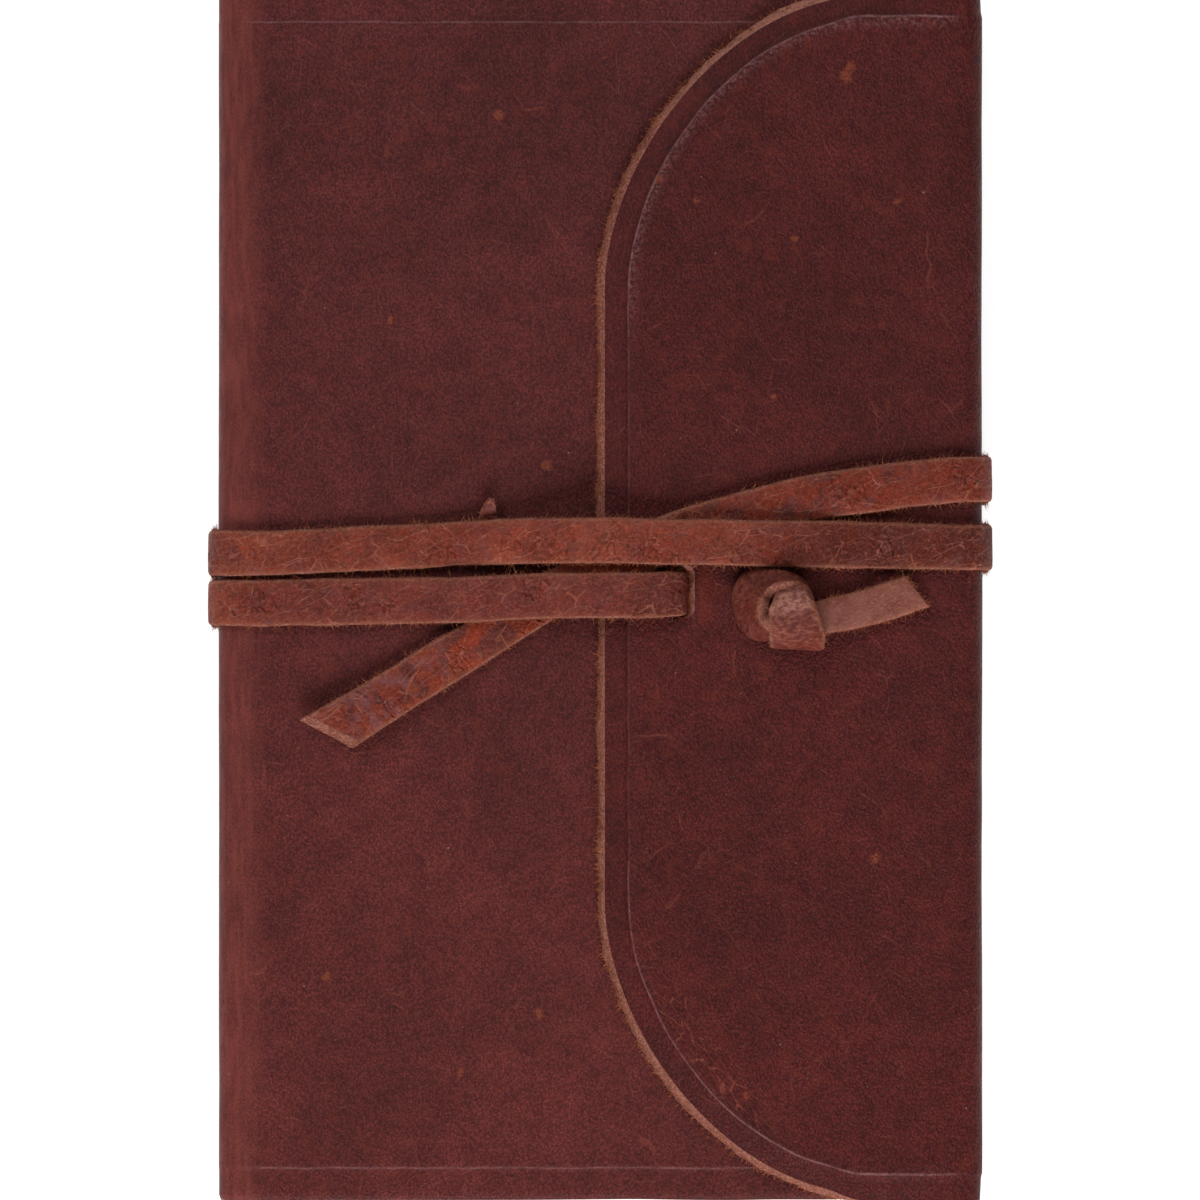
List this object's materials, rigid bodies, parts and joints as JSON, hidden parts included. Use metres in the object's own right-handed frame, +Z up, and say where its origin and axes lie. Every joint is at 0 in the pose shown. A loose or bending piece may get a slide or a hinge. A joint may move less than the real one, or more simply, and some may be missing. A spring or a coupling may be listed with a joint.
{
  "type": "leather notebook cover",
  "caption": "Wrap-around leather cover on a notebook: one hide folds round spine and fore-edge to a D-shaped flap, closed by a knotted flat leather tie wound twice round.",
  "frame": {"origin": "bottom centre of the whole, on the surface that the tie under the back rests on", "axes": "+Z up out of the front cover, +Y towards the head of the book, spine on -X and fore-edge on +X"},
  "size_m": [0.1458, 0.225, 0.04],
  "materials": {
    "hide": "pebbled, waxy, worn at the folds",
    "tie_leather": "creased, semi-matte",
    "raw_leather": "fibrous flesh side",
    "lining_leather": "suede-like, matte",
    "board": "matte",
    "notebook_card": "fine linen-grained card",
    "pages": "uncoated"
  },
  "bodies": {
    "back": {"outer_back": "hide", "fold_back_spine": "hide", "fold_back_fore": "hide", "back_board": "board", "lining_back": "lining_leather", "back_pocket": "lining_leather", "notebook_back_cover": "notebook_card", "signature_1": "pages", "signature_2": "pages", "signature_3": "pages", "signature_4": "pages", "tie_back_runs": "tie_leather", "tie_corner_back_spine": "tie_leather", "tie_corner_back_fore": "tie_leather"},
    "spine": {"outer_spine": "hide", "fold_spine_front": "hide", "lining_spine": "lining_leather", "notebook_spine": "notebook_card", "tie_spine_runs": "tie_leather", "tie_corner_spine_front": "tie_leather"},
    "front": {"outer_front": "hide", "front_board": "board", "lining_front": "lining_leather", "front_pocket": "lining_leather", "notebook_front_cover": "notebook_card", "signature_5": "pages", "signature_6": "pages", "signature_7": "pages", "signature_8": "pages"},
    "fore_edge": {"outer_fore_edge": "hide", "lining_fore_edge": "lining_leather", "fold_fore_flap": "hide", "tie_fore_runs": "tie_leather", "tie_corner_fore_flap": "tie_leather"},
    "flap": {"outer_flap": "hide", "flap_board": "board", "lining_flap": "lining_leather", "tie_bridge": "tie_leather", "tie_lower_pass": "tie_leather", "tie_upper_pass": "tie_leather", "tie_end_run": "tie_leather", "tie_sliver": "raw_leather", "tie_knot_loop": "tie_leather", "tie_knot_band": "tie_leather", "tie_knot_tail": "tie_leather"},
    "tie_tip": {"tie_end_tip": "tie_leather"}
  },
  "joints": [
    {"name": "spine_hinge", "type": "hinge", "parent": "back", "child": "spine", "pos_m": [-0.06936, 0, 0.00354], "axis": [0, -1, 0], "range_deg": [0, 90], "deforming": ["fold_back_spine", "tie_corner_back_spine"]},
    {"name": "front_hinge", "type": "hinge", "parent": "spine", "child": "front", "pos_m": [-0.06936, 0, 0.02706], "axis": [0, -1, 0], "range_deg": [0, 90], "deforming": ["fold_spine_front", "tie_corner_spine_front", "outer_flap", "flap_board", "lining_flap", "tie_bridge", "tie_lower_pass", "tie_upper_pass", "tie_end_run", "tie_sliver", "tie_knot_loop", "tie_knot_band", "tie_knot_tail"]},
    {"name": "fore_edge_hinge", "type": "hinge", "parent": "back", "child": "fore_edge", "pos_m": [0.06936, 0, 0.00354], "axis": [0, 1, 0], "range_deg": [0, 90], "deforming": ["fold_back_fore", "tie_corner_back_fore"]},
    {"name": "flap_hinge", "type": "hinge", "parent": "fore_edge", "child": "flap", "pos_m": [0.06936, 0, 0.03091], "axis": [0, 1, 0], "range_deg": [0, 80], "deforming": ["fold_fore_flap", "tie_corner_fore_flap"]},
    {"name": "tie_end_lift", "type": "hinge", "parent": "flap", "child": "tie_tip", "pos_m": [-0.024, -0.0094, 0.0297], "axis": [-0.5423, 0.8402, 0], "range_deg": [0, 60], "deforming": ["tie_end_tip"]}
  ]
}
